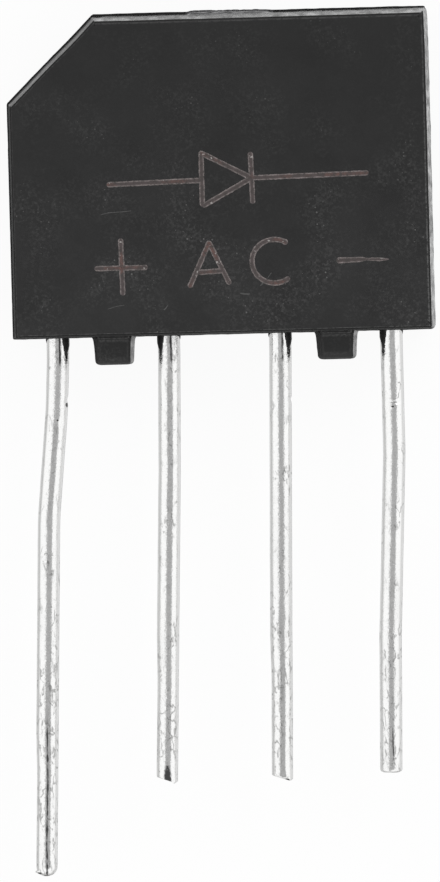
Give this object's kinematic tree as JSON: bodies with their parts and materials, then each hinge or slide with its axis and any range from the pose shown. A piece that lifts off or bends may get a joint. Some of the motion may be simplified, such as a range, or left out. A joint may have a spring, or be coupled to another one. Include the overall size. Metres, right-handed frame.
{
  "type": "bridge rectifier",
  "caption": "Flat moulded block with one bevelled corner, small board feet and a row of round wire leads; turns alternating current into direct current.",
  "frame": {"origin": "middle of the flat back of the case, on which the part lies", "axes": "+Z out of the marked front, +Y away from the leads towards the top edge, +X towards the minus lead"},
  "size_m": [0.0144, 0.0296, 0.0035],
  "materials": {
    "moulding": "matte",
    "tinned_wire": "satin",
    "silicon": "gloss",
    "solder": "satin",
    "silicone": "satin"
  },
  "bodies": {
    "root": {"case": "moulding", "lead_positive": "tinned_wire", "lead_ac_left": "tinned_wire", "lead_ac_right": "tinned_wire", "lead_negative": "tinned_wire", "die_left_minus": "silicon", "solder_back_left_minus": "solder", "solder_front_left_minus": "solder", "junction_coat_left_minus": "silicone", "die_left_plus": "silicon", "solder_back_left_plus": "solder", "solder_front_left_plus": "solder", "junction_coat_left_plus": "silicone", "die_right_minus": "silicon", "solder_back_right_minus": "solder", "solder_front_right_minus": "solder", "junction_coat_right_minus": "silicone", "die_right_plus": "silicon", "solder_back_right_plus": "solder", "solder_front_right_plus": "solder", "junction_coat_right_plus": "silicone"}
  },
  "joints": []
}
